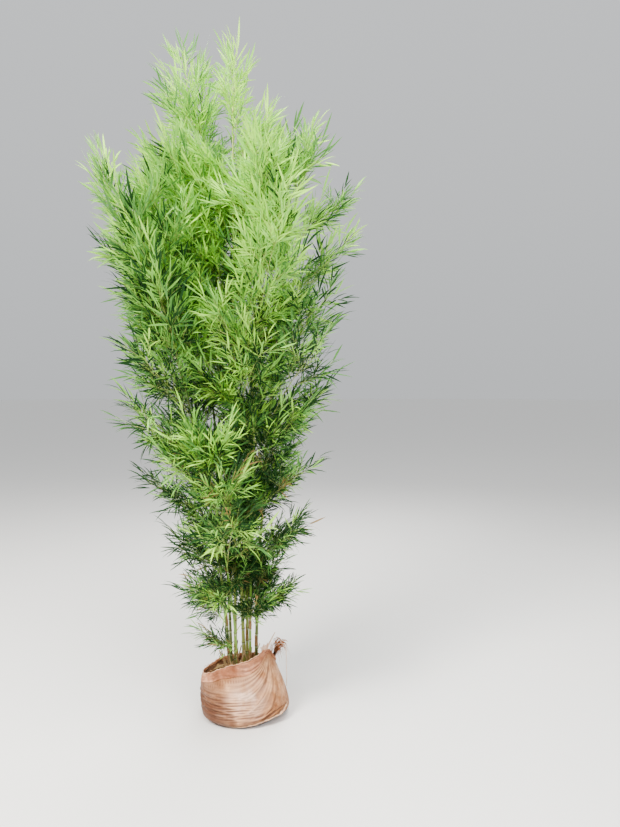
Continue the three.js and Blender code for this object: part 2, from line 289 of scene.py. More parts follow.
def makeWeave():
    # flat tapes woven over and under, round the upright axis, as a height and as a mask of their gaps
    group, start, end = newGroup("tapeWeave", {"Tape": 0.003, "Radius": 0.18}, ("Height", "Gaps"))
    split = addNode(group, "SeparateXYZ", {0: objectPlace(group)}).outputs
    around = times(group, maths(group, "ARCTAN2", split["Y"], split["X"]), start["Radius"])
    halfTurn = maths(group, "DIVIDE", pi, start["Tape"])
    waves = [maths(group, "SINE", times(group, way, halfTurn)) for way in (around, split["Z"])]
    edges = [maths(group, "POWER", maths(group, "ABSOLUTE", wave), 0.35) for wave in waves]
    tape = times(group, *edges)
    over = times(group, times(group, *waves), 0.3)
    feed(group, end, {"Height": plus(group, over, tape), "Gaps": minus(group, 1.0, tape)})
    return group


shared = {
    "mottle": makeMottle(),
    "fibres": makeFibres(),
    "groundDust": makeGroundDust(),
    "tapeWeave": makeWeave(),
}
print("shader groups made")


def placeGroup(tree, name, inputs):
    return addNode(tree, "Group", inputs, node_tree=shared[name]).outputs


def startMaterial(name, roughness, specular):
    material = bpy.data.materials.new(name)
    material.use_nodes = True
    tree = material.node_tree
    shader = tree.nodes["Principled BSDF"]
    feed(tree, shader, {"Roughness": roughness, "Specular IOR Level": specular})
    return material, tree, shader


def addSurface(tree, shader, colour, height, relief, strength=1.0):
    bump = addNode(tree, "Bump", {"Height": height, "Distance": relief, "Strength": strength})
    feed(tree, shader, {"Base Color": colour, "Normal": bump.outputs[0]})


def mottle(tree, first, second, scale, sharpness, detail=5.0):
    inputs = {"Colour A": first, "Colour B": second, "Scale": scale, "Sharpness": sharpness, "Detail": detail}
    return placeGroup(tree, "mottle", inputs)


# Finishes

bagLook = {
    "pale": rgb(0.79, 0.475, 0.28),
    "tan": rgb(0.46, 0.215, 0.09),
    "cuff": rgb(0.44, 0.185, 0.095),
    "cuffPale": rgb(0.82, 0.45, 0.285),
    "stain": rgb(0.55, 0.41, 0.29),
    # a pale dust colour, which on the belly is also a painted highlight
    "dust": rgb(0.86, 0.60, 0.45),
    # mud colour, which is also painted shade in the folds and up the left side
    "mudAndShade": rgb(0.110, 0.042, 0.022),
    "creased": (0.502, 0.484),  # pointiness under which painted shade darkens the folds, and where it is full
    "creaseShade": 0.8,
    "gapMud": 0.3,  # in the gaps of the weave
    "footMudAndShade": 0.96,
    "tape": 0.0028,  # width of one woven tape
    "dustAndHighlightAt": (0.03, -0.17, 0.125),  # the middle of the belly is the dustiest, and is lightened there as a painted highlight too
    "dustAndHighlightReach": (0.12, 0.03),  # distances from there at which the dust and painted highlight begin and are full
    "shade": (-0.01, -0.20),  # x from which and up to which the mud climbs towards the left, where it is painted shade
    "climb": 17.0,  # how many times higher it stands there
    "roughness": 0.47,
}


def makeBagCloth(name, pale, dark, dustAndHighlightShare, mudHeight):
    material, tree, shader = startMaterial(name, bagLook["roughness"], specular=0.45)
    patches = mottle(tree, pale, dark, scale=8.0, sharpness=3.6)
    stains = mottle(tree, rgb(1, 1, 1), bagLook["stain"], scale=24.0, sharpness=3.8)
    weave = placeGroup(tree, "tapeWeave", {"Tape": bagLook["tape"]})
    place = objectPlace(tree)
    stained = mixColour(tree, 0.9, patches["Colour"], stains["Colour"], "MULTIPLY")
    # dust and a painted highlight: the front middle of the belly is lightened towards the dust colour
    away = addNode(tree, "VectorMath", {0: place, 1: bagLook["dustAndHighlightAt"]}, operation="DISTANCE")
    near = mapRange(tree, away.outputs["Value"], *bagLook["dustAndHighlightReach"], 0.0, dustAndHighlightShare)
    dustAndHighlight = times(tree, near, plus(tree, stains["Mask"], 0.35), clamp=True)
    dusty = mixColour(tree, dustAndHighlight, stained, bagLook["dust"])
    woven = mixColour(tree, times(tree, weave["Gaps"], bagLook["gapMud"]), dusty, bagLook["mudAndShade"])
    x = addNode(tree, "SeparateXYZ", {0: place}).outputs["X"]
    # mud at the foot all round, and painted shade up the left side, where the mud climbs much higher
    climb = mapRange(tree, x, *bagLook["shade"], mudHeight, bagLook["climb"] * mudHeight)
    mudAndShade = placeGroup(tree, "groundDust", {"Height": climb, "Raggedness": mudHeight * 0.9})
    # painted shade: the hollows of the folds are darkened towards the mud colour
    point = addNode(tree, "NewGeometry").outputs["Pointiness"]
    hollow = mapRange(tree, point, *bagLook["creased"], 0.0, bagLook["creaseShade"])
    creaseShaded = mixColour(tree, hollow, woven, bagLook["mudAndShade"])
    colour = mixColour(tree, times(tree, mudAndShade["Mask"], bagLook["footMudAndShade"]), creaseShaded, bagLook["mudAndShade"])
    rough = plus(tree, times(tree, stains["Mask"], 0.25), bagLook["roughness"] - 0.1)
    feed(tree, shader, {"Roughness": rough})
    addSurface(tree, shader, colour, weave["Height"], relief=0.0005, strength=0.7)
    return material


soilLook = {"dark": rgb(0.055, 0.026, 0.014), "light": rgb(0.17, 0.085, 0.045)}


def makeSoilFinish():
    material, tree, shader = startMaterial("soilFinish", roughness=0.95, specular=0.2)
    crumbs = mottle(tree, soilLook["dark"], soilLook["light"], scale=95.0, sharpness=2.8, detail=8.0)
    addSurface(tree, shader, crumbs["Colour"], crumbs["Mask"], relief=0.004)
    return material


# each bark's skin, its shade in patches and streaks, and its dusty foot
barkLooks = {
    "barkPale": (rgb(0.42, 0.46, 0.13), rgb(0.27, 0.34, 0.08), rgb(0.30, 0.24, 0.10)),
    "barkBright": (rgb(0.25, 0.42, 0.08), rgb(0.16, 0.31, 0.05), rgb(0.27, 0.30, 0.09)),
    "barkOlive": (rgb(0.20, 0.26, 0.07), rgb(0.12, 0.17, 0.045), rgb(0.16, 0.12, 0.055)),
}


def makeBark(name, skin, shade, foot):
    material, tree, shader = startMaterial(name, roughness=0.38, specular=0.5)
    patches = mottle(tree, skin, shade, scale=9.0, sharpness=2.4)
    streaks = placeGroup(tree, "fibres", {"Across": 1400.0, "Along": 14.0})
    dust = placeGroup(tree, "groundDust", {"Height": 0.42, "Raggedness": 0.1, "Scale": 14.0})
    streaked = mixColour(tree, times(tree, streaks["Mask"], 0.35), patches["Colour"], shade)
    colour = mixColour(tree, times(tree, dust["Mask"], 0.85), streaked, foot)
    addSurface(tree, shader, colour, streaks["Mask"], relief=0.0002, strength=0.5)
    return material


# dry and fibrous things: light and dark colour, roughness, and their streaks' fineness where it is unusual
streakedLooks = {
    "frayedTape": (rgb(0.62, 0.28, 0.11), rgb(0.33, 0.13, 0.055), 0.5),
    "tornCloth": (rgb(0.78, 0.64, 0.52), rgb(0.58, 0.38, 0.27), 0.6),
    "sheath": (rgb(0.47, 0.31, 0.15), rgb(0.20, 0.11, 0.05), 0.75),
    "straw": (rgb(0.44, 0.30, 0.16), rgb(0.20, 0.12, 0.06), 0.75),
    "husk": (rgb(0.70, 0.54, 0.33), rgb(0.38, 0.24, 0.11), 0.7),
    "bagEdge": (rgb(0.82, 0.60, 0.44), rgb(0.58, 0.34, 0.20), 0.55),
    "ringScar": (rgb(0.20, 0.13, 0.06), rgb(0.10, 0.065, 0.035), 0.8),
    "waxBand": (rgb(0.44, 0.49, 0.29), rgb(0.28, 0.34, 0.15), 0.65),
    "twig": (rgb(0.58, 0.62, 0.24), rgb(0.36, 0.43, 0.13), 0.5, 900.0, 90.0),
}


def makeStreaked(name, light, dark, roughness, across=1200.0, along=60.0):
    material, tree, shader = startMaterial(name, roughness, specular=0.35)
    streaks = placeGroup(tree, "fibres", {"Across": across, "Along": along})
    patches = mottle(tree, light, dark, scale=60.0, sharpness=2.5)
    colour = mixColour(tree, times(tree, streaks["Mask"], 0.5), patches["Colour"], dark)
    addSurface(tree, shader, colour, streaks["Mask"], relief=0.0003, strength=0.6)
    return material


# each tint of leaf is a plain colour, dealt out by spray, and the glow of light through it
leafLooks = {
    "leafYoung": (rgb(0.48, 0.81, 0.17), rgb(0.58, 0.93, 0.17)),
    "leafFresh": (rgb(0.31, 0.59, 0.15), rgb(0.42, 0.76, 0.16)),
    "leafFull": (rgb(0.13, 0.29, 0.09), rgb(0.20, 0.42, 0.11)),
    # deep green, darker than the leaf alone so that it is also painted shade
    "leafDeep": (rgb(0.025, 0.075, 0.025), rgb(0.05, 0.13, 0.035)),
    "leafDry": (rgb(0.40, 0.27, 0.12), rgb(0.44, 0.31, 0.13)),
}
leafShine = {"roughness": 0.5, "specular": 0.18, "glowShare": 0.27, "darkShare": 0.78}


def makeLeafFinish(name, front, glow):
    material, tree, shader = startMaterial(name, leafShine["roughness"], leafShine["specular"])
    tone = mottle(tree, front, darker(front, leafShine["darkShare"]), scale=30.0, sharpness=1.6)
    feed(tree, shader, {"Base Color": tone["Colour"]})
    through = addNode(tree, "BsdfTranslucent", {"Color": glow}).outputs[0]
    both = addNode(tree, "MixShader", {0: leafShine["glowShare"], 1: shader.outputs[0], 2: through})
    feed(tree, tree.nodes["Material Output"], {"Surface": both.outputs[0]})
    return material


finishes = {
    "bagBody": makeBagCloth("bagBody", bagLook["pale"], bagLook["tan"], dustAndHighlightShare=0.8, mudHeight=0.035),
    "bagCuff": makeBagCloth("bagCuff", bagLook["cuffPale"], bagLook["cuff"], dustAndHighlightShare=0.15, mudHeight=0.001),
    "soil": makeSoilFinish(),
}
for makeFinish, looks in ((makeStreaked, streakedLooks), (makeBark, barkLooks), (makeLeafFinish, leafLooks)):
    for finishName, look in looks.items():
        finishes[finishName] = makeFinish(finishName, *look)
print("finishes made:", len(finishes))


# The rule that the clump grows by, the same as its solids', in metres

soilLevel = 0.172
gap = 0.0003
soloEnd = 0.87  # how far up a culm its tip spray takes over
culmTaper = 0.68
flare = {"more": 0.35, "height": 0.025}  # at a culm's foot
firstBough = 0.11
lastBough = 0.86
lean = 1.6
nod = 0.14
nodPower = 9
boughsPerMass = 3

boughRule = {
    "longest": 0.400,
    "shortest": 0.095,
    "fullness": 1.3,
    "youngShare": 0.75,  # of a bough's full length, on a culm of no height
    "fullGrown": 2.4,  # a culm that is this high has boughs of full length
    "rootAngle": radians(38),
    "topAngle": radians(22),
    "twist": radians(195),
    "arch": 0.18,
    "sag": 0.08,
    "steps": 2,
    "clearance": 0.028,
    "turns": (0, 24, -24, 48, -48, 72, -72, 96, -96),
    "tested": (0.15, 0.3, 0.45, 0.6, 0.75, 0.9, 1),
}
twigRule = {
    "count": 4,
    "tipCount": 5,
    "first": 0.3,
    "last": 0.97,
    "share": 0.5,
    "shrink": 0.5,
    "least": 0.075,
    "spread": radians(38),
    "lastSpread": 0.15,  # of that, for the last twig
    "vary": (0.8, 1.2),
    "lengthVary": (0.85, 1.15),
}
leafRule = {"length": 0.188, "spread": radians(38), "besides": 2}
lowGrowth = {"size": 0.56, "upTo": 0.45}  # twigs and leaves are this small at a culm's foot
leafLift = 0.4  # how much more the leaves at a culm's tip point up

# Each culm's place and colouring. shade: how much painted shade it gets low down, as deep green; lowShare:
# how many of the finer sprays it keeps there, more than all of them over 1; tints: the shares of young,
# fresh, full and deep green

tintNames = ("young", "fresh", "full", "deep")
culmKeys = ("name", "foot", "tip", "top", "radius", "turn", "boughs", "bark", "shade", "lowShare", "tints")
culmRows = (
    ("main", (-0.037, -0.014), (-0.030, -0.080), 2.670, 0.0074, 205, 15, "Pale", 9, 0.6, (5, 5, 2, 0)),
    ("tall", (-0.004, 0.024), (-0.240, 0.020), 2.735, 0.0078, 80, 15, "Pale", 12, 1.1, (2, 5, 4, 1)),
    ("green", (0.027, -0.020), (0.120, -0.200), 2.320, 0.0058, 300, 15, "Bright", 9, 0.55, (5, 5, 2, 0)),
    ("left", (-0.060, -0.036), (-0.520, -0.140), 2.250, 0.0068, 150, 15, "Olive", 17, 1.2, (1, 5, 4, 1)),
    ("right", (0.050, 0.022), (0.270, 0.050), 2.430, 0.0070, 20, 15, "Olive", 17, 1.5, (1, 3, 5, 2)),
    ("back", (0.006, 0.070), (0.070, 0.330), 2.540, 0.0070, 95, 15, "Pale", 14, 1.9, (1, 3, 5, 3)),
    ("back_left", (-0.062, 0.044), (-0.350, 0.240), 2.480, 0.0066, 130, 15, "Olive", 14, 1.9, (1, 4, 5, 2)),
    ("young", (-0.022, -0.062), (-0.150, -0.270), 1.180, 0.0048, 230, 9, "Bright", 8, 0.6, (12, 8, 5, 0)),
)
culms = [dict(zip(culmKeys, row)) for row in culmRows]
for culmNumber, clumpCulm in enumerate(culms):
    clumpCulm["number"] = culmNumber
    clumpCulm["grown"] = clumpCulm["top"] - soilLevel


def culmMiddle(culm, s):
    # its x and y, a share s of the way up, for one share or an array of them
    out = (1 - nod) * s ** lean + nod * s ** nodPower
    return [lerp(foot, tip, out) for foot, tip in zip(culm["foot"], culm["tip"])]


def culmPoint(culm, s):
    return Vector((*culmMiddle(culm, s), lerp(soilLevel + gap, culm["top"], s)))


def culmDirection(culm, s):
    return (culmPoint(culm, s + 0.005) - culmPoint(culm, s - 0.005)).normalized()


def culmRadius(culm, s):
    flared = 1 + flare["more"] * exp(-(s * culm["grown"]) / flare["height"])
    return culm["radius"] * (1 - culmTaper * s) * flared


def boughShare(culm, k):
    return firstBough + (lastBough - firstBough) * k / (culm["boughs"] - 1)


def firstMass(culm):
    return culm["number"] % boughsPerMass


def boughRoute(culm, k, aside, size=1.0):
    s = boughShare(culm, k)
    along = culmDirection(culm, s)
    turn = radians(culm["turn"]) + boughRule["twist"] * k + aside
    out = squareTo(along, levelWay(turn))
    angle = lerp(boughRule["rootAngle"], boughRule["topAngle"], s)
    scale = lerp(boughRule["youngShare"], 1, min(1, culm["grown"] / boughRule["fullGrown"]))
    share = sin(pi * s ** boughRule["fullness"])
    length = size * scale * lerp(boughRule["shortest"], boughRule["longest"], share)
    points = []
    for t in evenly(boughRule["steps"]):
        points.append(
            culmPoint(culm, s)
            + along * (cos(angle) * length * t)
            + out * (sin(angle) * length * t + boughRule["arch"] * length * t * t)
            - up * (boughRule["sag"] * length * t * t)
        )
    return {"culm": culm, "k": k, "s": s, "length": length, "points": points,
            "side": along.cross(out), "isTip": False}


def tipRoute(culm):
    points = [culmPoint(culm, lerp(soloEnd, 1, t)) for t in evenly(boughRule["steps"])]
    length = (points[-1] - points[0]).length
    return {"culm": culm, "k": culm["boughs"], "s": 1, "length": length, "points": points,
            "side": up.cross(levelWay(radians(culm["turn"]))), "isTip": True}


def pointAlong(points, t):
    place = t * (len(points) - 1)
    i = min(len(points) - 2, int(place))
    return points[i].lerp(points[i + 1], place - i)


def directionAlong(points, t):
    i = max(0, min(len(points) - 2, int(t * (len(points) - 1))))
    return (points[i + 1] - points[i]).normalized()


def roomRound(route, settled):
    room = 9.0
    for t in boughRule["tested"]:
        p = pointAlong(route["points"], t)
        for other in culms:
            s = (p.z - soilLevel) / other["grown"]
            if other is not route["culm"] and s < 1.1:
                room = min(room, (culmPoint(other, s) - p).length)
        for done in settled:
            for u in (0, *boughRule["tested"]):
                room = min(room, (pointAlong(done["points"], u) - p).length)
    return room


def settleBoughs():
    settled = []
    for culm in culms:
        for k in range(firstMass(culm), culm["boughs"], boughsPerMass):
            tries = [boughRoute(culm, k, radians(turn)) for turn in boughRule["turns"]]
            rooms = [roomRound(route, settled) for route in tries]
            clear = [i for i, room in enumerate(rooms) if room > boughRule["clearance"]]
            settled.append(tries[clear[0] if clear else rooms.index(max(rooms))])
    return settled


# Between the boughs that the solids show grow lesser ones, and every bough has more twigs

finer = {
    "boughSize": 0.8,  # of a lesser bough, against one that the solids show
    "moreTwigs": 6,  # on each bough
    "twigsAlong": (0.2, 0.88),
    "twigSize": 0.7,
    "moreSprays": 5,  # on each twig
    "fullFrom": 1.5,  # height from which every twig has them all
    "thin": (2.1, 2.8, 0.55),  # heights from which and up to which they get fewer, and their share then
    "spraySize": 0.86,
    "sprayVary": (0.85, 1.1),
    "spraySpread": 1.5,  # of a lesser spray, against one that the solids show
    "sprayRoll": 1.2,  # how far it leaves the plane of its twig
    "sway": (-0.25, 0.2),  # how far a spray turns up or down by chance
    "rise": 0.22,  # how much more a spray turns up than its twig
    "lesserRise": 0.08,  # the same of a lesser one
    "stalkShare": 0.58,  # of a spray's length, for its stalk
    "leaves": 6,  # in a spray
    "firstLeaf": 0.08,  # how far along the stalk
    "leafShare": 0.56,  # of the spray's length
    "leafVary": (0.7, 1.12),
    "leafAspect": 0.077,  # width against length
    "aspectVary": (0.85, 1.15),
    "firstOff": radians(46),
    "lastOff": radians(7),
    "offVary": (0.4, 1.45),
    "roll": 1.0,  # how far a leaf turns out of its spray's plane
    "leafSway": 0.25,
    "leafRise": 0.4,  # of its twig's lift
    "droop": (0.05, 0.7),
    "lowDroop": 0.35,  # how much more the lowest leaves may droop
    "dryDroop": 1.5,  # times as much for dry ones
}
limbLook = {
    "thickest": 0.0027,
    "culmShare": 0.5,  # of its culm's radius, at most
    "end": 0.0012,
    "steps": 6,
    "sides": 5,
    "twig": (0.0013, 0.0011, 0.0008),
    "stalk": (0.0006, 0.0004),
    "stalkSides": 3,
}


def lesserBough(culm, k, seed, sway, heading):
    aside = heading + drawFrom(seed + 31 * culm["number"] + k)(-sway, sway)
    return boughRoute(culm, k, aside, finer["boughSize"])


def lesserBoughs():
    steps = [(culm, k) for culm in culms for k in range(culm["boughs"])]
    return [lesserBough(culm, k, 577, 0.35, 0) for culm, k in steps if (k - firstMass(culm)) % boughsPerMass]


# where the clump would gape at its front, more boughs leave the same joints: steps up the culm, and heading

frontBoughs = {
    "main": (range(7, 13), radians(225)),
    "tall": (range(8, 13), radians(240)),
    "left": (range(9, 14), radians(310)),
}


def fillFront():
    routes = []
    for culm in culms:
        steps, heading = frontBoughs.get(culm["name"], ((), 0))
        for k in steps:
            turned = radians(culm["turn"]) + boughRule["twist"] * k
            routes.append(lesserBough(culm, k, 881, 0.5, heading - turned))
    return routes


def makeTwig(route, t, hand, draw, isLast, size=1.0):
    along = directionAlong(route["points"], t)
    roll = draw(-0.5, 0.5)
    side = Quaternion(along, roll) @ (route["side"] * hand)
    spread = (twigRule["lastSpread"] if isLast else 1) * twigRule["spread"] * draw(*twigRule["vary"])
    grown = lerp(lowGrowth["size"], 1, min(1, route["s"] / lowGrowth["upTo"])) * size
    longest = max(twigRule["least"], route["length"] * twigRule["share"] * (1 - twigRule["shrink"] * t))
    length = longest * grown * draw(*twigRule["lengthVary"])
    direction = (along * cos(spread) + side * sin(spread)).normalized()
    root = pointAlong(route["points"], t)
    return {"route": route, "root": root, "direction": direction, "side": side, "length": length,
            "size": grown, "lift": leafLift * route["s"]}


def twigsOf(route):
    draw = drawFrom(1009 + 97 * route["culm"]["number"] + 13 * route["k"])
    count = twigRule["tipCount"] if route["isTip"] else twigRule["count"]
    twigs = []
    for i, share in enumerate(evenly(count - 1)):
        t = lerp(twigRule["first"], twigRule["last"], share)
        twig = makeTwig(route, t, 1 if i % 2 else -1, draw, share == 1)
        if route["isTip"]:
            twig["side"] = Quaternion(directionAlong(route["points"], t), i * 2.4) @ route["side"]
        twigs.append(twig)
    more = random.Random(8009 + 89 * route["culm"]["number"] + 17 * route["k"]).uniform
    for i in range(finer["moreTwigs"]):
        t = lerp(*finer["twigsAlong"], (i + more(0.1, 0.9)) / finer["moreTwigs"])
        twigs.append(makeTwig(route, t, -1 if i % 2 else 1, more, False, finer["twigSize"]))
    return twigs


def sprayOn(twig, turn, place, draw, rise, size=1.0, roll=0.0):
    root = twig["root"] + twig["direction"] * (twig["length"] * place)
    flat = Quaternion(twig["direction"], roll) @ twig["direction"].cross(twig["side"]).normalized()
    direction = Quaternion(flat, turn) @ twig["direction"]
    direction = (direction + up * (draw(*finer["sway"]) + rise)).normalized()
    face = squareTo(direction, flat * (-1 if flat.z < 0 else 1) + up * 0.6)
    return {"root": root, "direction": direction, "face": face, "twig": twig,
            "length": leafRule["length"] * twig["size"] * draw(*finer["sprayVary"]) * size}


def spraysOf(twig, seed):
    draw = random.Random(seed).uniform
    rise = finer["rise"] + twig["lift"]
    sprays = [sprayOn(twig, 0, 1, draw, rise)]
    for i in range(leafRule["besides"]):
        turn = (-1 if i % 2 else 1) * leafRule["spread"] * draw(0.8, 1.2)
        sprays.append(sprayOn(twig, turn, draw(0.4, 0.8), draw, rise))
    height = twig["root"].z
    share = lerp(twig["route"]["culm"]["lowShare"], 1, min(1, height / finer["fullFrom"]))
    thinFrom, thinTo, least = finer["thin"]
    share *= lerp(1, least, min(1, max(0, (height - thinFrom) / (thinTo - thinFrom))))
    for i in range(round(finer["moreSprays"] * max(1, share))):
        turn = draw(-1, 1) * leafRule["spread"] * finer["spraySpread"]
        roll = draw(-finer["sprayRoll"], finer["sprayRoll"])
        spray = sprayOn(twig, turn, draw(0.25, 0.95), draw, finer["lesserRise"], finer["spraySize"], roll)
        if draw(0, 1) < share:
            sprays.append(spray)
    return sprays


# How the tints of leaf are dealt out

tintRule = {
    "brightAt": 2.4,  # height over which the most sprays are young and bright: young growth, and painted light on the top of the crown
    "climb": {  # each share's factor at the ground, its gain on the way there, and the power of that gain; darker low down and brighter high up, partly painted shade and light
        "young": (0.1, 2.1, 2),
        "deep": (1.05, -1, 1),
        "fresh": (0.5, 0.9, 1),
        "full": (1.5, -0.9, 1),
    },
    "lowPaintedShade": 3.2,  # how much a culm's shade adds to deep green at the ground, as painted shade
    "crown": ((0.0, 1.6, 2.4, 3.0), (0.24, 0.50, 0.44, 0.25)),  # heights, and its radius at each
    "crownAt": (-0.02, -0.03),  # x of its middle at the ground, and how that shifts with height
    "innerPaintedShade": 12,  # how much likelier deep green is in the middle of the crown, as painted shade
    "innerPaintedShadeFull": 0.4,  # of that for full green, also painted shade
    "dryBelow": 1.1,  # height under which some sprays are dry
    "dryShare": 0.03,
}


def howFarIn(place):
    # 1 at the middle of the crown, and 0 from its outer leaves on
    radius = float(np.interp(place.z, *tintRule["crown"]))
    atGround, shift = tintRule["crownAt"]
    return max(0.0, 1 - hypot(place.x - atGround - shift * place.z, place.y) / radius)


def chooseTint(culm, place, draw):
    if place.z < tintRule["dryBelow"] and draw(0, 1) < tintRule["dryShare"]:
        return "dry"
    shares = dict(zip(tintNames, culm["tints"]))
    rise = min(1, place.z / tintRule["brightAt"])
    # painted shade: deep and full green are dealt more often low down and inside the crown, where shade falls
    innerShade = tintRule["innerPaintedShade"] * howFarIn(place) * (1 - rise)
    for tint, (start, gain, power) in tintRule["climb"].items():
        shares[tint] *= start + gain * rise ** power
    shares["deep"] += culm["shade"] * tintRule["lowPaintedShade"] * (1 - rise) ** 2 + innerShade
    shares["full"] += tintRule["innerPaintedShadeFull"] * innerShade
    pick = draw(0, sum(shares.values()))
    for tint, share in shares.items():
        pick -= share
        if pick <= 0:
            return tint
    return "fresh"


def insideBox(point):
    return all(low <= p <= high for low, p, high in zip(cadBox[0], point, cadBox[1]))


def curvedAlong(points, t):
    # a smooth curve through the first, middle and last points
    a, b, c = points
    control = b * 2 - (a + c) * 0.5
    return a * (1 - t) ** 2 + control * (2 * t * (1 - t)) + c * t ** 2


def growSpray(spray, draw, stalks, leaves):
    tint = chooseTint(spray["twig"]["route"]["culm"], spray["root"], draw)
    axis = spray["direction"]
    end = spray["root"] + axis * (spray["length"] * finer["stalkShare"])
    if not insideBox(end):
        return
    stalks.addTube([spray["root"], end], limbLook["stalk"], limbLook["stalkSides"])
    least, most = finer["droop"]
    most += finer["lowDroop"] * max(0, 1 - spray["root"].z / tintRule["brightAt"])
    for i, t in enumerate(evenly(finer["leaves"] - 1)):
        hand = (1 if i % 2 else -1) * (0 if t == 1 else 1)
        off = lerp(finer["firstOff"], finer["lastOff"], t) * hand * draw(*finer["offVary"])
        roll = Quaternion(axis, draw(-finer["roll"], finer["roll"]))
        direction = roll @ (Quaternion(spray["face"], off) @ axis)
        rise = draw(-finer["leafSway"], finer["leafSway"]) + finer["leafRise"] * spray["twig"]["lift"]
        direction = (direction + up * rise).normalized()
        face = squareTo(direction, roll @ spray["face"])
        length = spray["length"] * finer["leafShare"] * draw(*finer["leafVary"])
        width = length * finer["leafAspect"] * draw(*finer["aspectVary"])
        root = spray["root"].lerp(end, lerp(finer["firstLeaf"], 1, t))
        droop = draw(least, most) * (finer["dryDroop"] if tint == "dry" else 1)
        leaves[tint].append((*root, *direction, *face, length, width, droop))


def growBough(route, number, limbs, stalks, leaves):
    besideCulm = limbLook["culmShare"] * culmRadius(route["culm"], min(route["s"], soloEnd))
    thick = min(limbLook["thickest"], besideCulm)
    if not route["isTip"]:
        shares = evenly(limbLook["steps"])
        points = [curvedAlong(route["points"], t) for t in shares]
        limbs.addTube(points, [lerp(thick, limbLook["end"], t) for t in shares], limbLook["sides"])
    for i, twig in enumerate(twigsOf(route)):
        end = twig["root"] + twig["direction"] * twig["length"]
        if not insideBox(end):
            continue
        middle = twig["root"].lerp(end, 0.5)
        stalks.addTube([twig["root"], middle, end], limbLook["twig"], limbLook["stalkSides"])
        for j, spray in enumerate(spraysOf(twig, 4001 + 97 * number + 331 * i)):
            growSpray(spray, random.Random(60013 + 1009 * number + 101 * i + 7 * j).uniform, stalks, leaves)


# Leaf blades: a narrow pointed outline, bent over by its weight

bladeShape = {
    "along": (0.0, 0.14, 0.42, 0.74),  # rows of points, before the tip
    "width": (0.16, 0.78, 1.0, 0.62),  # share of the full width at each
    "drawnIn": 0.25,  # how much shorter a drooping leaf reaches
    "fall": 0.6,
}
leafRoom = {
    "tested": (0.35, 0.7, 1.0),  # shares of a leaf's length
    "inset": 0.002,  # from the solids' box
    "overSoil": 0.15,
    "roundCulm": 1.2,  # times a culm's radius
}
mostInPiece = 24000  # leaves, which keeps a piece under 200,000 triangles


def bladeMesh(rows):
    data = np.array(rows)
    root, direction, face = data[:, 0:3], data[:, 3:6], data[:, 6:9]
    length, width, droop = data[:, 9:10], data[:, 10:11], data[:, 11:12]
    across = np.cross(direction, face)

    def spine(t):
        fallen = face * length * droop * t * t * bladeShape["fall"]
        return root + direction * length * t * (1 - bladeShape["drawnIn"] * droop * t) - fallen

    columns = []
    for t, share in zip(bladeShape["along"], bladeShape["width"]):
        edge = across * (width * 0.5 * share)
        columns += [spine(t) - edge, spine(t) + edge]
    columns.append(spine(1.0))
    vertices = np.stack(columns, axis=1)
    count = vertices.shape[1]
    starts = (np.arange(len(rows)) * count)[:, None, None]
    quads = [(a, a + 1, a + 3, a + 2) for a in range(0, count - 3, 2)]
    tip = [(count - 3, count - 2, count - 1)]
    shape = Shape()
    shape.vertices = vertices.reshape(-1, 3)
    for pattern in (quads, tip):
        shape.faces += (starts + np.array(pattern)[None]).reshape(-1, len(pattern[0])).tolist()
    return shape


def clearOfCulms(rows):
    # keeps the leaves whose middle and end are clear of every culm, and inside the solids' box
    data = np.array(rows)
    ok = np.ones(len(data), bool)
    low, high = np.array(cadBox[0]) + leafRoom["inset"], np.array(cadBox[1]) - leafRoom["inset"]
    for t in leafRoom["tested"]:
        p = data[:, 0:3] + data[:, 3:6] * data[:, 9:10] * t
        ok &= np.all(p > low, axis=1) & np.all(p < high, axis=1)
        ok &= p[:, 2] > soilLevel + leafRoom["overSoil"]
        for culm in culms:
            s = np.clip((p[:, 2] - soilLevel) / culm["grown"], 0.0, 1.3)
            x, y = culmMiddle(culm, s)
            near = np.hypot(p[:, 0] - x, p[:, 1] - y) < culm["radius"] * leafRoom["roundCulm"]
            ok &= ~(near & (s < 1))
    return [row for row, keep in zip(rows, ok) if keep]


def growClump():
    nodes = [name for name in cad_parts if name.startswith("foliage_")]
    routes = settleBoughs() + [tipRoute(culm) for culm in culms] + lesserBoughs() + fillFront()
    limbs, stalks = Shape(), Shape()
    leaves = {tint: [] for tint in (*tintNames, "dry")}
    for number, route in enumerate(routes):
        growBough(route, number, limbs, stalks, leaves)
    addPiece("boughs", limbs, "twig", nodes)
    addPiece("twigs", stalks, "twig", nodes)
    for tint, rows in leaves.items():
        kept = clearOfCulms(rows)
        print("leaves", tint, len(kept))
        for part, start in enumerate(range(0, len(kept), mostInPiece)):
            blades = bladeMesh(kept[start:start + mostInPiece])
            addPiece(f"leaves_{tint}_{part + 1}", blades, "leaf" + tint.title(), nodes)


growClump()


# Culms, with a raised ring, a scar and a waxy band at each joint, and papery sheaths that still hug them

jointLook = {
    "low": (0.10, 0.27, 0.46, 0.68, 0.88),  # shares of the way up to the first bough
    "top": 0.93,
    "swell": 0.16,  # how far the ring stands out, as a share of the radius
    "swellHalf": 0.0035,
    "tipRadius": 0.0009,
    "sides": 14,
    "between": 6,  # rings of points from one joint to the next, besides those at a joint
    "atJoint": (-0.009, -0.005, -0.0025, 0, 0.0025, 0.005, 0.009),
    "atFoot": (0.0, 0.004, 0.01),
}
# each band's finish, where it begins and ends from the joint, how proud it is, and how far up the last is
bandLooks = {
    "joint_scars": ("ringScar", -0.0022, 0.0004, 0.0005, 0.9),
    "wax_bands": ("waxBand", -0.010, -0.0024, 0.0002, 0.7),
}
sheathLook = {
    "length": (0.045, 0.085),
    "wrap": radians(105),
    "flare": 0.004,
    "joints": 7,
    "share": 0.3,  # of the lower joints that still hold one
    "steps": 8,
}


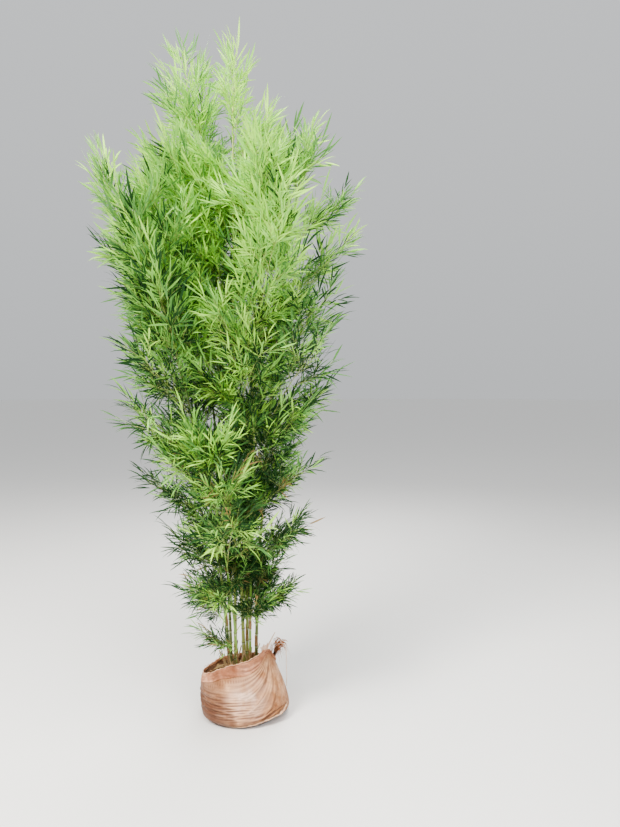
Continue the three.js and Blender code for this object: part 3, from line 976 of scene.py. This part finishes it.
def jointShares(culm):
    low = [firstBough * share for share in jointLook["low"]]
    return low + [boughShare(culm, k) for k in range(culm["boughs"])] + [jointLook["top"]]


def skinRadius(culm, s):
    nearest = min(abs(s - joint) * culm["grown"] for joint in jointShares(culm))
    swell = 1 + jointLook["swell"] * exp(-(nearest / jointLook["swellHalf"]) ** 2)
    return max(jointLook["tipRadius"], culmRadius(culm, s) * swell)


def culmStations(culm):
    joints = jointShares(culm)
    stations = [*jointLook["atFoot"], 1.0]
    for joint in joints:
        stations += [joint + step / culm["grown"] for step in jointLook["atJoint"]]
    for a, b in zip([jointLook["atFoot"][-1]] + joints, joints + [1.0]):
        stations += [lerp(a, b, (i + 1) / (jointLook["between"] + 1)) for i in range(jointLook["between"])]
    return sorted(s for s in set(stations) if 0 <= s <= 1)


def addCulmTube(shape, culm, stations, proud):
    radii = [skinRadius(culm, s) + more for s, more in zip(stations, proud)]
    shape.addTube([culmPoint(culm, s) for s in stations], radii, jointLook["sides"])


def makeStem(culm):
    stem = Shape()
    stations = culmStations(culm)
    addCulmTube(stem, culm, stations, [0.0] * len(stations))
    addPiece("stem_" + culm["name"], stem, "bark" + culm["bark"], ["culm_" + culm["name"]])


def makeBands(name, finish, fromBelow, toAbove, proud, lastShare):
    bands = Shape()
    quarters = evenly(4)
    for culm in culms:
        for joint in jointShares(culm):
            if joint <= lastShare:
                span = [joint + lerp(fromBelow, toAbove, t) / culm["grown"] for t in quarters]
                addCulmTube(bands, culm, span, [proud * sin(pi * t) for t in quarters])
    addPiece(name, bands, finish)


def makeSheaths():
    sheaths = Shape()
    shares = evenly(sheathLook["steps"])
    for culm in culms:
        draw = random.Random(31337 + 271 * culm["number"]).uniform
        for joint in jointShares(culm)[:sheathLook["joints"]]:
            if draw(0, 1) > sheathLook["share"]:
                continue
            length = draw(*sheathLook["length"])
            facing = draw(0, tau)
            opening = sheathLook["flare"] * draw(0.3, 1.4)
            points = []
            for t in shares:
                s = joint + t * length / culm["grown"]
                radius = culmRadius(culm, s) * (1.06 - 0.03 * t) + 0.0005 + opening * t ** 3
                half = sheathLook["wrap"] * (1 - t ** 2.6) + 0.03
                for v in shares:
                    turn = facing + half * (2 * v - 1)
                    ripple = 1 + 0.06 * sin(9 * turn + 20 * t)
                    points.append(culmPoint(culm, s) + levelWay(turn) * radius * ripple)
            sheaths.addGrid(points, len(shares))
    addPiece("culm_sheaths", sheaths, "sheath")


for clumpCulm in culms:
    makeStem(clumpCulm)
for bandName, band in bandLooks.items():
    makeBands(bandName, *band)
makeSheaths()
print("culms and sheaths made")


# The grow bag, on the same sections as its solid. Waves are height, count round the bag, and turn

bag = {
    "underRadius": 0.150,
    "bellyRadius": 0.191,
    "bellyHeight": 0.060,
    "mouthRadius": 0.142,
    "mouthHeight": 0.300,
    "depthShare": 0.95,
    "cloth": 0.003,
    "cuffHeight": 0.038,
    "cuffStep": 0.003,
    "cuffSag": (0.016, radians(-80), 0.55),  # drop, angle and half width, where it is deepest
    "cuffPinch": (0.75, radians(4), 0.55),  # share, angle and half width of where it narrows
    "cuffFoot": ((0.002, 5, 1), (0.0012, 13, 0)),
    "cuffLip": ((0.0035, 0.0002), (0.0004, 0.0012)),  # lift and out
    "cuffWaves": ((0.0014, 7, 1), (0.0010, 15, 0)),
    "rimMiddle": 0.2215,
    "rimSwings": ((0.040, 1, radians(-57)), (-0.0155, 2, radians(27))),
    "rimPeak": (0.053, radians(-23), 0.48),
    "rimWaves": ((0.0020, 6, 0.7), (0.0014, 17, 0), (0.0009, 41, 2)),
    "rimRoll": ((-0.0010, 0.0024), (0.0, 0.0010), (-0.0008, -0.0010), (-0.004, -0.0020)),  # lift and out
    "footShift": 0.006,
    "mouthShift": -0.026,
    "lobes": ((0.018, 2, 1.1), (0.012, 3, -0.8)),
    "earAt": radians(-32),
    "earHalfWidth": 0.24,
    "earReach": 0.011,
    "earHeight": 0.030,
    "earHalfHeight": 0.020,
    "tuck": (0.026, radians(-38), 0.55, 0.045),  # depth, angle, half width and top
    "under": (0.02, 0.3, 0.6, 0.82, 0.95),  # rings of points on the underside
    "columns": 280,
    "rows": 96,
    "cuffRows": 24,
    "insideRows": 12,
}
bagAngles = np.arange(bag["columns"]) * tau / bag["columns"]


def angleFrom(angle, middle):
    return np.arctan2(np.sin(angle - middle), np.cos(angle - middle))


def window(value, half):
    return np.exp(-(value / half) ** 2)


def bump(angle, at, halfWidth):
    return window(angleFrom(angle, at), halfWidth)


def waves(angle, parts):
    return sum(height * np.sin(count * angle + turn) for height, count, turn in parts)


def swings(start, angle, parts):
    return sum((height * np.cos(count * angle - turn) for height, count, turn in parts), start)


def bagRadius(z):
    belowBelly = 1 - np.clip(z / bag["bellyHeight"], 0, 1)
    low = bag["bellyRadius"] - (bag["bellyRadius"] - bag["underRadius"]) * belowBelly ** 5
    rise = np.clip((z - bag["bellyHeight"]) / (bag["mouthHeight"] - bag["bellyHeight"]), 0, 1)
    high = lerp(bag["mouthRadius"], bag["bellyRadius"], 0.5 + 0.5 * np.cos(np.pi * rise))
    return np.where(z < bag["bellyHeight"], low, high)


def rimHeight(angle):
    rise, at, halfWidth = bag["rimPeak"]
    return swings(bag["rimMiddle"] + rise * bump(angle, at, halfWidth), angle, bag["rimSwings"])


def rimTop(angle):
    return rimHeight(angle) + waves(angle, bag["rimWaves"])


def cuffFoot(angle):
    drop, sagAt, sagWidth = bag["cuffSag"]
    share, pinchAt, pinchWidth = bag["cuffPinch"]
    hanging = bag["cuffHeight"] + drop * bump(angle, sagAt, sagWidth)
    depth = hanging * (1 - share * bump(angle, pinchAt, pinchWidth)) + waves(angle, bag["cuffFoot"])
    return rimHeight(angle) - depth


def bagPoints(angle, z, out):
    ear = bump(angle, bag["earAt"], bag["earHalfWidth"])
    ear = ear * window(z - bag["earHeight"], bag["earHalfHeight"])
    depth, tuckAt, tuckWidth, tuckTop = bag["tuck"]
    drawn = depth * bump(angle, tuckAt, tuckWidth) * np.clip(1 - z / tuckTop, 0, 1) ** 1.5
    radius = bagRadius(z) * swings(1.0, angle, bag["lobes"]) + out
    radius = radius + np.where(out < 0, 0, bag["earReach"] * ear) - drawn
    shift = lerp(bag["footShift"], bag["mouthShift"], z / bag["mouthHeight"])
    x = shift + radius * np.cos(angle)
    y = bag["depthShare"] * radius * np.sin(angle)
    return np.stack([x, y, z], axis=-1)


def bagPoint(angle, z, out):
    return Vector(bagPoints(np.array(angle), np.array(z), np.array(out)).tolist())


# Its folds: how far the cloth stands out, over its height and round it

folds = {
    "lumps": 0.0032,
    "belly": 0.0066,  # level creases over the left of the belly
    "bellyPitch": 0.0250,
    "bellyAt": radians(-138),
    "pulls": 0.0062,  # folds that fan out from the right end of the rim
    "pullsFrom": (radians(-14), 0.318),
    "finePulls": 0.0015,
    "gathers": 0.0005,  # fine upright puckers under the cuff
    "gatherPitch": 0.011,
    "slack": 0.0045,  # rings of slack low on the right, over the seam
    "drawnIn": 0.0012,  # of the whole, so that the folds stay near the solid's skin
    "flatBelow": 0.016,
}


def crease(phase):
    # rounded ridges with tight valleys
    return 1 - 2 * np.abs(np.sin(phase * 0.5)) ** 0.75


def pullFolds(angle, z):
    fromAngle, fromHeight = folds["pullsFrom"]
    sideways = angleFrom(angle, fromAngle) * bag["bellyRadius"]
    down = fromHeight - z
    reach = np.hypot(sideways, down)
    fan = np.arctan2(down, -sideways)  # 0 points to the left, and a quarter turn straight down
    swept = fan + 1.5 * reach  # they sweep round to the left on their way down
    uneven = 0.65 + 0.35 * np.sin(swept * 9.3 + 26 * reach)
    wide = crease(swept * 25 + 2.3 * np.sin(swept * 4.1)) * uneven
    fine = crease(swept * 67 + 3.1 * np.sin(swept * 7.3) - 17 * reach) * (1.4 - uneven)
    fade = window(reach - 0.215, 0.115) * window(fan - 0.72, 0.52)
    return folds["pulls"] * wide * fade + folds["finePulls"] * fine * fade


def bagRelief(angle, z):
    lumps = (0.5 * np.sin(3 * angle + 21 * z + 0.4) + 0.35 * np.sin(5 * angle - 34 * z + 2.0)
             + 0.3 * np.sin(2 * angle + 47 * z))
    wander = 1.3 * np.sin(2.6 * angle + 0.5) + 0.9 * np.sin(5.3 * angle + 24 * z)
    level = 0.8 * crease(tau * z / folds["bellyPitch"] + wander)
    level += 0.35 * crease(2.3 * tau * z / folds["bellyPitch"] - 1.7 * wander)
    belly = level * bump(angle, folds["bellyAt"], 0.80) * window(z - 0.084, 0.048)
    behind = crease(angle * 13 + 3 * np.sin(3 * angle) + 34 * z)
    behind = behind * bump(angle, 1.7, 1.1) * window(z - 0.12, 0.07)
    slackPhase = tau * (z - 0.030 * bump(angle, -0.5, 0.5)) / 0.021 + 1.2 * np.sin(4 * angle)
    slack = crease(slackPhase) * bump(angle, radians(-48), 0.5) * window(z - 0.042, 0.022)
    pucker = np.sin(tau * angle * 0.16 / folds["gatherPitch"] + 2 * np.sin(5 * angle))
    gathers = pucker * window(cuffFoot(angle) - z - 0.014, 0.014) * bump(angle, radians(-125), 0.7)
    relief = folds["lumps"] * lumps + folds["belly"] * belly + pullFolds(angle, z)
    relief = relief + 0.6 * folds["pulls"] * behind + folds["slack"] * slack + folds["gathers"] * gathers
    return (relief - folds["drawnIn"]) * np.clip(z / folds["flatBelow"], 0, 1)


def reliefAt(angle, z):
    return float(bagRelief(np.array(angle), np.array(z)))


def addBagBody():
    flat = bagPoints(bagAngles, bagAngles * 0, bagAngles * 0)
    middle = np.array([bag["footShift"], 0, 0])
    rows = [middle + (flat - middle) * share for share in bag["under"]]
    top = cuffFoot(bagAngles) + 0.010
    for t in evenly(bag["rows"]):
        share = t ** 1.2
        underCuff = 0.0018 * np.clip((share - 0.93) / 0.07, 0, 1)
        rows.append(bagPoints(bagAngles, top * share, bagRelief(bagAngles, top * share) - underCuff))
    body = Shape(np.concatenate(rows), bag["columns"], True)
    body.faces.append(tuple(reversed(range(bag["columns"]))))
    addPiece("bag_body", body, "bagBody", ["grow_bag"])


def addBagCuff():
    rim = rimTop(bagAngles)
    foot = cuffFoot(bagAngles)
    base = bagRelief(bagAngles, foot)
    rows = [bagPoints(bagAngles, foot + lift, base + out) for lift, out in bag["cuffLip"]]
    for t in evenly(bag["cuffRows"]):
        arc = sin(pi * t)
        z = lerp(foot, rim - 0.003, t)
        puff = bag["cuffStep"] * (0.9 + 0.6 * arc)
        creases = 0.0010 * crease(tau * t * 1.8 + 1.6 * np.sin(4 * bagAngles) + 5 * bagAngles)
        relief = bagRelief(bagAngles, z) * 0.75 + puff + (waves(bagAngles, bag["cuffWaves"]) + creases) * arc
        rows.append(bagPoints(bagAngles, z, relief))
    for lift, out in bag["rimRoll"]:
        rows.append(bagPoints(bagAngles, rim + lift, bagAngles * 0 + out))
    for t in evenly(bag["insideRows"])[1:]:
        z = lerp(rim - 0.004, bagAngles * 0 + soilLevel - 0.02, t)
        rows.append(bagPoints(bagAngles, z, bagRelief(bagAngles, z) - 1.2 * bag["cloth"]))
    cuff = Shape(np.concatenate(rows), bag["columns"], True)
    addPiece("bag_cuff", cuff, "bagCuff", ["grow_bag"])


def addRimEdge():
    # the cut edge of the cloth, rolled out a little and paler than the rest
    count = 260
    angles = [tau * i / count for i in range(count + 1)]
    points = [bagPoint(angle, float(rimTop(angle)) - 0.0006, 0.0012) for angle in angles]
    edge = Shape()
    edge.addTube(points, [0.0013 + 0.0005 * sin(23 * angle) * sin(9 * angle + 1) for angle in angles], 6)
    addPiece("bag_rim_edge", edge, "bagEdge")


# The sewn seam along the bottom right, which ends in an ear

seam = {
    "from": radians(-112),
    "to": radians(-10),
    "steps": 90,
    "across": 6,
    "lip": 0.007,
    "stitches": 46,
    "stitchRadii": (0.0006, 0.0008, 0.0006),
}


def seamHeight(angle):
    t = (angle - seam["from"]) / (seam["to"] - seam["from"])
    return 0.008 + 0.052 * max(0.0, t) ** 1.25 + 0.0012 * sin(31 * angle)


def addSeam():
    points = []
    for t in evenly(seam["steps"]):
        angle = lerp(seam["from"], seam["to"], t)
        z = seamHeight(angle)
        lip = seam["lip"] * (0.35 + 0.65 * sin(pi * t) ** 0.6) * (1 + 0.25 * sin(19 * angle))
        lip += 0.004 * float(bump(angle, bag["earAt"], 0.16))
        cloth = reliefAt(angle, z)
        for v in evenly(seam["across"]):
            out = cloth - 0.001 + lip * v * (1 - 0.2 * v)
            fall = 0.0055 * v * v + 0.0012 * sin(47 * angle + 3 * v)
            points.append(bagPoint(angle, max(0.0015, z - fall), max(0.0, out)))
    addPiece("bag_seam", Shape(points, seam["across"] + 1), "bagEdge")


def addStitches():
    stitches = Shape()
    for i in range(seam["stitches"]):
        angle = lerp(seam["from"], seam["to"], (i + 0.5) / seam["stitches"])
        points = []
        for step in (-1, 0, 1):
            a = angle + step * 0.009
            z = seamHeight(a) + 0.006
            out = reliefAt(a, z) + 0.0004 + 0.0006 * (1 - abs(step))
            points.append(bagPoint(a, z, max(0.0, out)))
        stitches.addTube(points, seam["stitchRadii"], 4)
    addPiece("bag_stitches", stitches, "straw")


# Frayed tapes along the mouth: a few all round it, thick curled loops at its right end, and its torn peak.
# The ranges are drawn from for each tape, and its width is a whole width times such a draw

frays = {
    "few": {"count": 110, "at": lambda draw: draw(0, tau), "height": (0.003, 0.013),
            "outward": (-0.2, 0.9), "curl": (0.8, 1.4), "width": 0.0022, "share": (0.3, 0.9)},
    "loops": {"count": 84, "at": lambda draw: radians(2) + 0.34 * (draw(-1, 1) + draw(-1, 1)) * 0.5,
              "height": (0.020, 0.074), "outward": (0.3, 1.1), "curl": (1.2, 2.1), "width": 0.0072,
              "share": (0.4, 1.1)},
    "peak": {"count": 40, "at": lambda draw: radians(-31) + draw(-0.14, 0.16), "height": (0.010, 0.030),
             "outward": (-0.3, 0.4), "curl": (0.7, 1.1), "width": 0.0022, "share": (1.4, 3.2)},
}
fraySteps = 7


def addRibbon(shape, points, width, normal):
    pairs = []
    for i, point in enumerate(points):
        across = tangentAt(points, i).cross(normal).normalized()
        across = across * width * 0.5 * (0.35 if i == len(points) - 1 else 1)
        pairs += [point - across, point + across]
    shape.addGrid(pairs, 2)


def addFray(shape, fray, draw):
    angle = fray["at"](draw)
    height, outward, curl = [draw(*fray[key]) for key in ("height", "outward", "curl")]
    base = bagPoint(angle, float(rimTop(angle)), 0.0)
    out = levelWay(angle)
    around = Vector((-sin(angle), cos(angle), 0))
    swing = draw(-1, 1)
    points = []
    for t in evenly(fraySteps):
        past = max(0, t * curl - 1)
        rise = height * (sin(min(1.0, t * curl) * pi * 0.5) - 1.3 * past ** 1.5)
        aside = around * (swing * height * t * t * 0.7)
        points.append(base + up * (rise - 0.004) + out * (outward * t * height) + aside)
    addRibbon(shape, points, fray["width"] * draw(*fray["share"]), out)


def addFrays(name, finish, kinds, seed):
    draw = random.Random(seed).uniform
    tapes = Shape()
    for kind in kinds:
        for i in range(frays[kind]["count"]):
            addFray(tapes, frays[kind], draw)
    addPiece(name, tapes, finish)


# each thread's angle on the rim, how far under it and out of it the thread starts, its slant,
# its steps across and up, and its radii
threadLooks = (
    (radians(-9), 0.002, 0.001, -0.10,
     ((0.0, 0.0), (0.018, 0.026), (0.040, 0.040), (0.058, 0.034), (0.066, 0.006), (0.065, -0.045),
      (0.068, -0.100), (0.066, -0.150)), [0.0014] * 8),
    (radians(-25), 0.004, 0.0, 0.1, ((0.0, 0.0), (0.014, 0.032), (0.036, 0.074)), [0.0040, 0.0034, 0.0018]),
)


def addLooseThreads():
    threads = Shape()
    for angle, under, out, slant, steps, radii in threadLooks:
        start = bagPoint(angle, float(rimHeight(angle)) - under, out)
        threads.addTube([start + Vector((x, slant * x, z)) for x, z in steps], radii, 5)
    addPiece("loose_threads", threads, "tornCloth")


addBagBody()
addBagCuff()
addRimEdge()
addSeam()
addStitches()
addFrays("frayed_tapes", "frayedTape", ("few", "loops"), 9973)
addFrays("torn_peak", "tornCloth", ("peak",), 515)
addLooseThreads()
print("grow bag made")


# Soil, what has fallen on it, and dry husks that stand up round the culms' feet

soilBed = {
    "steps": 45,
    "columns": 150,
    "middleX": -0.018,
    "relief": 0.010,
    "fallen": 110,
    "fallenReach": 0.15,
    "fallenLength": (0.05, 0.095),
    "chips": 20,
    "chipReach": 0.13,
    "chipSteps": 4,
    "husksEach": 3,  # at a culm
    "huskAway": 0.006,  # from its skin
}
# ranges of tilt, length and width
chipLooks = {
    "chip": ((0.0, 0.5), (0.020, 0.055), (0.007, 0.015)),
    "husk": ((1.05, 1.42), (0.060, 0.115), (0.009, 0.016)),
}


def soilHeight(x, y):
    rough = noise.fractal(Vector((x * 26, y * 26, 3.1)), 0.8, 2.1, 5)
    clods = noise.noise(Vector((x * 70, y * 70, 8.0)))
    return soilLevel + soilBed["relief"] * (0.55 * rough + 0.35 * abs(clods)) - 0.002


def addSoil():
    columns = soilBed["columns"]
    middle = Vector((soilBed["middleX"], 0.0, soilLevel))
    points = []
    for t in evenly(soilBed["steps"]):
        share = 1 - t * 0.985
        for c in range(columns):
            angle = c * tau / columns
            inset = reliefAt(angle, soilLevel) - bag["cloth"]
            x, y, _ = lerp(middle, bagPoint(angle, soilLevel, inset), share)
            points.append((x, y, soilHeight(x, y) + 0.006 * max(0, (share - 0.9) / 0.1) ** 2))
    bed = Shape(points, columns, True)
    bed.faces.append(tuple(range(len(points) - columns, len(points))))
    addPiece("soil_bed", bed, "soil", ["soil"])


def addFallenLeaves():
    draw = drawFrom(4242)
    rows = []
    middleX, furthest = soilBed["middleX"], soilBed["fallenReach"]
    for i in range(soilBed["fallen"]):
        reach = furthest * sqrt(draw(0.02, 1))
        turn = draw(0, tau)
        x, y = reach * cos(turn) + middleX, reach * sin(turn)
        heading = draw(0, tau)
        direction = Vector((cos(heading), sin(heading), draw(-0.08, 0.22))).normalized()
        face = squareTo(direction, up + Vector((draw(-0.5, 0.5), draw(-0.5, 0.5), 0)))
        length = draw(*soilBed["fallenLength"])
        if hypot(x + direction.x * length - middleX, y + direction.y * length) > furthest:
            continue
        root = Vector((x, y, soilHeight(x, y) + draw(0.003, 0.010)))
        rows.append((*root, *direction, *face, length, length * draw(0.1, 0.16), draw(-0.1, 0.3)))
    addPiece("fallen_leaves", bladeMesh(rows), "leafDry")


def addChip(shape, kind, x, y, heading, draw):
    tilt, length, width = [draw(*span) for span in chipLooks[kind]]
    level = levelWay(heading)
    along = level * cos(tilt) + up * sin(tilt)
    across = up.cross(level)
    over = along.cross(across) * -1
    base = Vector((x, y, soilHeight(x, y) + 0.004))
    shares = evenly(soilBed["chipSteps"])
    points = []
    for t in shares:
        for v in [2 * share - 1 for share in shares]:
            curl = over * (-(v * v) * width * 0.35 + 0.15 * length * t * (1 - t))
            aside = across * (v * width * 0.5 * (1 - 0.55 * t))
            points.append(base + along * (length * t) + aside + curl)
    shape.addGrid(points, len(shares))


def addSheathChips():
    draw = drawFrom(777)
    chips = Shape()
    for i in range(soilBed["chips"]):
        reach, turn = soilBed["chipReach"] * sqrt(draw(0.02, 1)), draw(0, tau)
        x, y = reach * cos(turn) + soilBed["middleX"], reach * sin(turn)
        addChip(chips, "chip", x, y, draw(0, tau), draw)
    addPiece("sheath_chips", chips, "straw")


def addHusks():
    draw = random.Random(913).uniform
    husks = Shape()
    for culm in culms:
        for i in range(soilBed["husksEach"]):
            heading = draw(0, tau)
            reach = culm["radius"] + soilBed["huskAway"]
            x, y = culm["foot"][0] + reach * cos(heading), culm["foot"][1] + reach * sin(heading)
            addChip(husks, "husk", x, y, heading, draw)
    addPiece("dry_husks", husks, "husk")


addSoil()
addFallenLeaves()
addSheathChips()
addHusks()
print("soil made")


# Floor and light

studio = {
    "floorRadius": 60.0,
    "floorSides": 96,
    "floorColour": rgb(0.86, 0.85, 0.83),
    "world": rgb(0.93, 0.95, 0.97),
    "worldLow": 0.58,  # strength at the horizon, where it meets the floor
    "worldHigh": 0.68,  # and overhead
    "look": "AgX - Medium High Contrast",
}
# each light's name, place, height that it aims at, size, watts and colour
lamps = (
    ("key", (-2.4, -3.0, 4.2), 1.3, 1.6, 345, (1.0, 0.96, 0.90)),
    ("top", (0.2, -1.5, 5.0), 1.3, 2.2, 150, (1.0, 0.99, 0.95)),
    ("fill", (1.4, -3.4, 2.7), 2.0, 2.4, 110, (0.96, 0.98, 1.0)),
    ("rear", (0.6, 3.2, 4.2), 1.3, 3.0, 120, (1.0, 0.98, 0.95)),
)


def addFloor():
    material, tree, shader = startMaterial("paleFloor", roughness=0.9, specular=0.2)
    pale = studio["floorColour"]
    grain = mottle(tree, pale, darker(pale, 0.95), scale=3.0, sharpness=0.5)
    feed(tree, shader, {"Base Color": grain["Colour"]})
    count = studio["floorSides"]
    ring = [levelWay(tau * i / count) * studio["floorRadius"] for i in range(count)]
    mesh = bpy.data.meshes.new("floor")
    mesh.from_pydata(ring, [], [tuple(range(count))])
    mesh.materials.append(material)
    linkObject("floor", mesh)


def addWorld():
    world = bpy.data.worlds.new("softSky")
    world.use_nodes = True
    tree = world.node_tree
    direction = addNode(tree, "TexCoord").outputs["Generated"]
    height = addNode(tree, "SeparateXYZ", {0: direction}).outputs["Z"]
    strength = mapRange(tree, height, 0.0, 0.5, studio["worldLow"], studio["worldHigh"])
    feed(tree, tree.nodes["Background"], {"Color": studio["world"], "Strength": strength})
    bpy.context.scene.world = world
    bpy.context.scene.view_settings.look = studio["look"]


def addLight(name, place, aimHeight, size, watts, colour):
    data = bpy.data.lights.new(name, "AREA")
    data.shape = "DISK"
    data.size = size
    data.energy = watts
    data.color = colour
    light = linkObject(name, data)
    light.location = place
    aim = Vector((0, 0, aimHeight)) - light.location
    light.rotation_euler = aim.to_track_quat("-Z", "Y").to_euler()


addFloor()
addWorld()
for lamp in lamps:
    addLight(*lamp)
print("floor and lights made")
